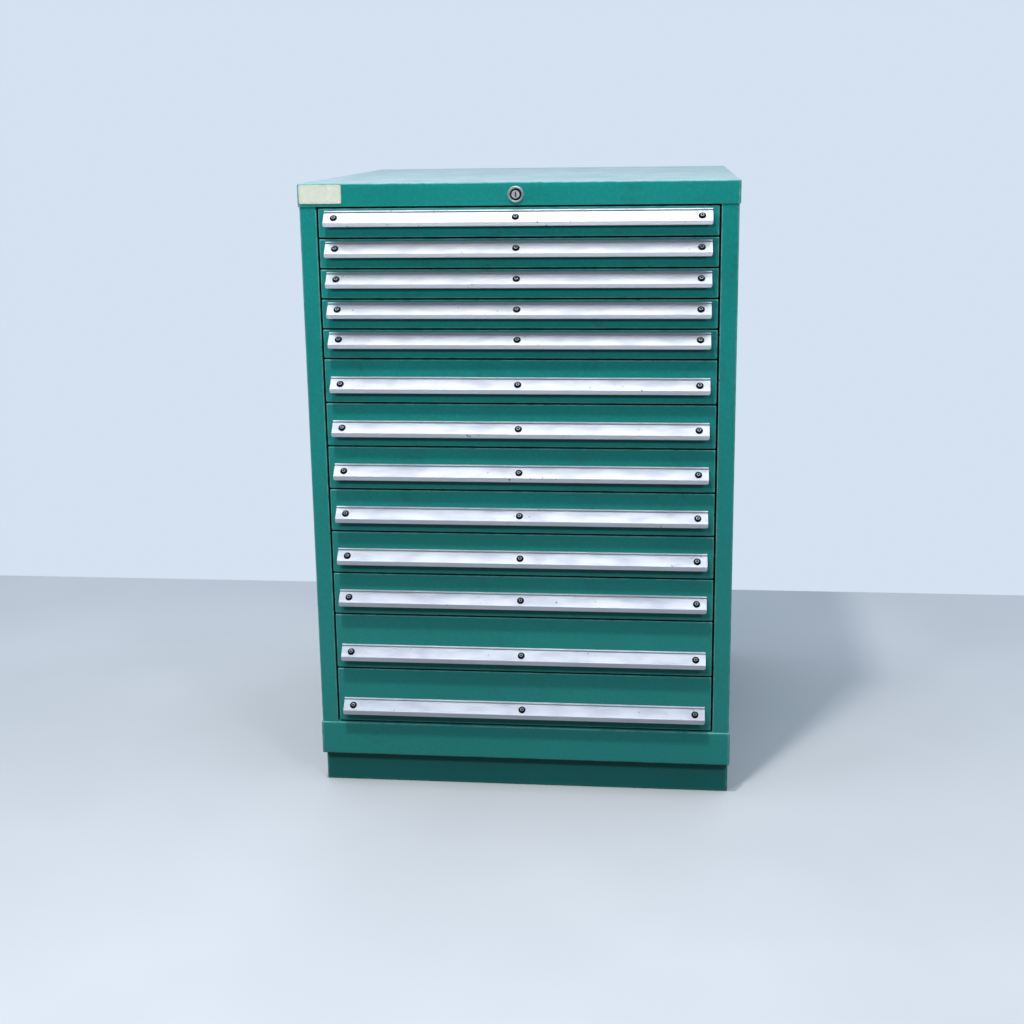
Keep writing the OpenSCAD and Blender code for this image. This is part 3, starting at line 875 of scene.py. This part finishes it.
def tray_walls(skin, pitch, height):
    """Slotted walls with a hem, bent up from the floor, and the perforated floor between them."""
    rect = (-TRAY_HALF, TRAY_HALF, front_y + PAN_DEPTH - SHEET, front_y + PAN_DEPTH - SHEET + TRAY_LENGTH)
    floor, top = pitch + TRAY_FLOOR, pitch + height - WALL_DROP
    bend = outline([(FLOOR_MARGIN, floor, 0), (0, floor, -2.2), (0, floor + SLOT_ABOVE_FLOOR, 0)],
                   closed=False)
    low_bend = [(u, v, 0.0) for u, v, _ in bend]
    hem = [(HEM - HEM * math.cos(a), top - HEM + HEM * math.sin(a), math.sin(a))
           for a in (TURN / 2 * s / 6 for s in range(7))]
    profile = low_bend + [(0, top - SLOT_BELOW_TOP, 0.0)] + hem + [(2 * HEM, top - HEM_DEPTH, 0.0)]
    slot_level = len(low_bend) - 1
    rows = []
    for inset, z, wear in profile:
        points, opens = tray_loop(rect, inset, 2.5)
        rows.append(skin.row([(x, y, z) for x, y in points], wear))
    skin.between(rows, gap=lambda level, k: level == slot_level and opens[k])
    edges = []
    for start, end in (rect[:2], rect[2:]):
        low, high = start + FLOOR_MARGIN, end - FLOOR_MARGIN
        step = (high - low) / FLOOR_HOLES
        inner = [low + (k + 0.5 + s * HOLE_SHARE / 2) * step for k in range(FLOOR_HOLES) for s in (-1, 1)]
        edges.append([low, *inner, high])
    rows = [skin.row([(x, y, floor) for x in edges[0]]) for y in edges[1]]
    skin.between(rows, ring=False, gap=lambda level, k: level % 2 == 1 and k % 2 == 1)


def runners(skin, pitch):
    """The channel on each side in which the carriage's rollers run."""
    inner, outer = TRAY_HALF - 0.3, TRAY_HALF + RUNNER_REACH
    low, high = pitch + RUNNER_Z - RUNNER_HALF, pitch + RUNNER_Z + RUNNER_HALF
    section = outline([
        (outer, low, 0.4), (inner, low, 1.2), (inner, high, 1.2), (outer, high, 0.4),
        (outer, high - SHEET, 0.4), (inner + SHEET, high - SHEET, -0.4),
        (inner + SHEET, low + SHEET, -0.4), (outer, low + SHEET, 0.4)])
    start = front_y + RUNNER_START
    for mirror in (-1, 1):
        extrude(skin, section, (start, start + RUNNER_LENGTH), lambda u, v, s, m=mirror: (m * u, s, v))


def catch(skin, pitch):
    """Zinc-plated angle riveted to the right wall, which the lock bar holds back."""
    near, far, foot = (front_y + y for y in CATCH)
    wall = TRAY_HALF + HAIR
    section = outline([(wall, near, 1.0), (CATCH_TIP, near, 0.4), (CATCH_TIP, far, 0.4),
                       (wall + SHEET, far, -0.5), (wall + SHEET, foot, 0.4), (wall, foot, 0.3)])
    extrude(skin, section, (pitch + CATCH_Z[0], pitch + CATCH_Z[1]), lambda u, v, s: (u, v, s))
    for y in (far + 5, foot - 4):
        lathe(skin, [(2.0, 0), (2.0, 0.4), (1.5, 0.9), (0.6, 1.1)],
              lambda u, v, h, y=y: (wall + SHEET + h, y + u, pitch + sum(CATCH_Z) / 2 + v), 16)


def drawer_tray(name, tone):
    """The welded drawer in three pieces: front pan, tray, and runners with the catch.

    Returns the height of the drawer's pitch line.
    """
    node = f"{name}_tray"
    low, high = limits(node)
    pitch, height = low[2] - FRONT_GAP / 2, high[2] - low[2] + FRONT_GAP
    front = Skin()
    drawer_front(front, low, high)
    make(f"{name}_front", front, node, "green_paint", tone=tone)
    walls = Skin()
    tray_walls(walls, pitch, height)
    piece = make(f"{name}_box", walls, node, "green_paint", tone=tone, closed=False)
    thick = piece.modifiers.new("sheet", "SOLIDIFY")
    thick.thickness, thick.offset, thick.use_even_offset = SHEET * MM, -1, True
    piece.modifiers.move(1, 0)
    fittings = Skin()
    runners(fittings, pitch)
    fittings.paint = 1
    catch(fittings, pitch)
    make(f"{name}_runners", fittings, node, "green_paint", "zinc_plate", tone=tone)
    return pitch


def handle(name, pitch):
    """The extruded grip, its lower corners rounded, and its three screws."""
    node = f"{name}_handle"
    half = limits(node)[1][0]
    skin = Skin()
    section = outline(GRIP, steps=5)

    def place(out, z, station):
        x, lift = station
        floor = NOSE_Z + lift
        if z < floor:
            out -= (floor - z) * NOSE_LEAN if out > NOSE_OUT else 0
            z = floor
        return (x, front_y - out, pitch + z)

    bends = [TURN / 4 * s / 4 for s in range(5)]
    ends = [(half - GRIP_CORNER * (1 - math.sin(a)), GRIP_CORNER * (1 - math.cos(a))) for a in bends]
    stations = [(-x, lift) for x, lift in reversed(ends)] + ends
    extrude(skin, section, stations, place)
    make(f"{name}_grip", skin, node, "aluminium", bevel=0.25)
    (top_out, top_z), (edge_out, edge_z) = GRIP_FACE
    middle = Vector((0, front_y - (top_out + edge_out) / 2, pitch + (top_z + edge_z) / 2))
    down = Vector((0, top_out - edge_out, edge_z - top_z)).normalized()
    out = Vector((0, down.z, -down.y))
    screws = Skin()
    for x in (-SCREW_SPREAD, 0, SCREW_SPREAD):
        def on_face(u, v, h, x=x):
            return tuple(middle + Vector((x + u, 0, 0)) + down * v + out * (h + HAIR))
        screws.paint = 0
        lathe(screws, SCREW_SHAPE, on_face, 28)
        # Painted highlight: the socket's rim is bright zinc, standing for the glint in the socket.
        screws.paint = 1
        lathe(screws, SOCKET_GLINT_RIM, on_face, 24, wrap=True)
    make(f"{name}_screws", screws, node, "black_screw", "zinc_plate")


def roller(skin, x1, y, z, outward):
    """A nylon roller with a dished hub, from x1 outward."""
    section = outline([(3.1, 0, 0.2), (4.6, 0, 0.3), (5.0, 0.8, -0.2), (7.8, 0.8, -0.3), (8.2, 0, 0.4),
                       (ROLLER_RADIUS, 0, 0.9), (ROLLER_RADIUS, ROLLER_WIDTH, 0.9),
                       (8.2, ROLLER_WIDTH, 0.4), (7.8, ROLLER_WIDTH - 0.8, -0.3),
                       (5.0, ROLLER_WIDTH - 0.8, -0.2),
                       (4.6, ROLLER_WIDTH, 0.3), (3.1, ROLLER_WIDTH, 0.2)], steps=2)
    lathe(skin, [(r, h) for r, h, _ in section],
          lambda u, v, h: (x1 + outward * h, y + u, z + v), 28, wrap=True)


def carriages(name, pitch):
    """A flat bar on each side, with rollers inside for the drawer and outside for the rail."""
    node = f"{name}_carriages"
    start, z = limits(node)[0][1], pitch + RUNNER_Z
    bars, wheels = Skin(), Skin()
    inner, outer = CARRIAGE_BAR
    for m in (-1, 1):
        xs = sorted((m * inner, m * outer))
        bar(bars, (xs[0], start, z - CARRIAGE_HALF), (xs[1], start + RUNNER_LENGTH, z + CARRIAGE_HALF), 0.6)
        rows = [(inner, -m, y) for y in INNER_ROLLERS] + [(outer, m, y) for y in OUTER_ROLLERS]
        for x, outward, y in rows:
            reach = ROLLER_GAP + ROLLER_WIDTH
            lathe(bars, [(PIN_RADIUS, -PLATE / 2), (PIN_RADIUS, reach - 0.4), (PIN_RADIUS - 0.4, reach)],
                  lambda u, v, h, x=x, o=outward, y=y: (m * x + o * h, start + y + u, z + v), 20)
            lathe(bars, RIVET_HEAD,
                  lambda u, v, h, x=x, o=outward, y=y: (m * x - o * h, start + y + u, z + v), 20)
            roller(wheels, m * x + outward * ROLLER_GAP, start + y, z, outward)
    make(f"{name}_bars", bars, node, "zinc_plate")
    make(f"{name}_rollers", wheels, node, "roller_plastic")


# ---- studio ----


def camera():
    """The standing viewer's place in front of the cabinet, a little to its right."""
    data = bpy.data.cameras.new("camera")
    data.sensor_width, data.lens, data.shift_y = SENSOR, LENS, LENS_SHIFT
    eye = bpy.data.objects.new("camera", data)
    bpy.context.scene.collection.objects.link(eye)
    turn, tilt, roll = (math.radians(a) for a in VIEW_TURNS)
    eye.matrix_world = (Matrix.Translation(EYE) @ Matrix.Rotation(turn, 4, "Z")
                        @ Matrix.Rotation(tilt, 4, "X") @ Matrix.Rotation(roll, 4, "Y")
                        @ Matrix.Rotation(math.radians(90), 4, "X"))
    bpy.context.scene.camera = eye


def lamp(name, place, aim, size, power, color, mirrored=True):
    """A soft lamp, so wide and so deep. One that isn't mirrored lights things, but makes no highlight."""
    data = bpy.data.lights.new(name, "AREA")
    data.shape, data.energy, data.color = "ELLIPSE", power, color
    data.size, data.size_y = size
    light = bpy.data.objects.new(name, data)
    light.location = place
    light.rotation_euler = (Vector(aim) - Vector(place)).to_track_quat("-Z", "Y").to_euler()
    light.visible_glossy = mirrored
    bpy.context.scene.collection.objects.link(light)


def surroundings():
    """A pale room, darker in its front, behind the viewer, than overhead; its wall is seen evenly lit."""
    world = bpy.data.worlds.new("studio")
    world.use_nodes = True
    nodes, links = world.node_tree.nodes, world.node_tree.links
    toward = nodes.new("ShaderNodeVectorMath")
    toward.operation = "DOT_PRODUCT"
    toward.inputs[1].default_value = BRIGHT_SIDE
    links.new(nodes.new("ShaderNodeTexCoord").outputs["Generated"], toward.inputs[0])
    fade = nodes.new("ShaderNodeMapRange")
    fade.interpolation_type = "SMOOTHSTEP"
    links.new(toward.outputs["Value"], fade.inputs["Value"])
    for socket, value in zip(fade.inputs[1:5], (*LIGHT_FADE, FRONT_LIGHT, ROOM_LIGHT)):
        socket.default_value = value
    seen = nodes.new("ShaderNodeMix")
    seen.inputs[3].default_value = 1.0
    links.new(fade.outputs[0], seen.inputs[2])
    links.new(nodes.new("ShaderNodeLightPath").outputs["Is Camera Ray"], seen.inputs[0])
    tint = nodes.new("ShaderNodeMix")
    tint.data_type = "RGBA"
    tint.inputs[6].default_value = (*FRONT_COLOR, 1)
    tint.inputs[7].default_value = (*ROOM_COLOR, 1)
    links.new(seen.outputs[0], tint.inputs[0])
    background = nodes["Background"]
    links.new(tint.outputs[2], background.inputs["Color"])
    links.new(seen.outputs[0], background.inputs["Strength"])
    return world


def stage_floor():
    """A plain floor that ends at the wall."""
    left, right, near = -FLOOR_REACH, FLOOR_REACH, -FLOOR_REACH
    mesh = bpy.data.meshes.new("floor")
    mesh.from_pydata([(left, near, 0), (right, near, 0), (right, WALL_Y, 0), (left, WALL_Y, 0)], [],
                     [(0, 1, 2, 3)])
    mesh.materials.append(floor_paint())
    floor = bpy.data.objects.new("floor", mesh)
    bpy.context.scene.collection.objects.link(floor)


def studio():
    """A key lamp high in front with a weak mirrored one in its place, a wide ceiling, two low fills."""
    scene = bpy.context.scene
    scene.view_settings.view_transform = "Standard"
    scene.world = surroundings()
    lamp("key", KEY_PLACE, KEY_AIM, KEY_SIZE, KEY_POWER, (1.0, 0.97, 0.93), mirrored=False)
    lamp("glint", KEY_PLACE, KEY_AIM, KEY_SIZE, GLINT_POWER, (1.0, 0.98, 0.95))
    lamp("ceiling", CEILING_PLACE, CEILING_AIM, CEILING_SIZE, CEILING_POWER, (0.93, 0.96, 1.0))
    for place, power in FILLS:
        lamp("fill", place, FILL_AIM, FILL_SIZE, power, (0.97, 0.99, 1.0), mirrored=False)
    stage_floor()


def drawer_tone(number):
    """The paint's tone, a little lighter or darker from drawer to drawer."""
    return 0.5 + 0.22 * math.sin(number * 2.3)


camera()
studio()
header()
base()
plinth()
side("left_side_panel", -1)
side("right_side_panel", 1)
label()
lock_bezel()
back()
finish_cad("lock_plug", "nickel", 0.25)
for plated in ("left_uprights", "right_uprights", "left_rails", "right_rails", "lock_nut",
               "lock_cam", "lock_link", "lock_link_guides", "lock_bar", "lock_bar_guides",
               "back_screws", "base_bolts"):
    finish_cad(plated, "zinc_plate")
for number in DRAWERS:
    drawer = f"drawer_{number:02d}"
    drawer_pitch = drawer_tray(drawer, drawer_tone(number))
    handle(drawer, drawer_pitch)
    carriages(drawer, drawer_pitch)
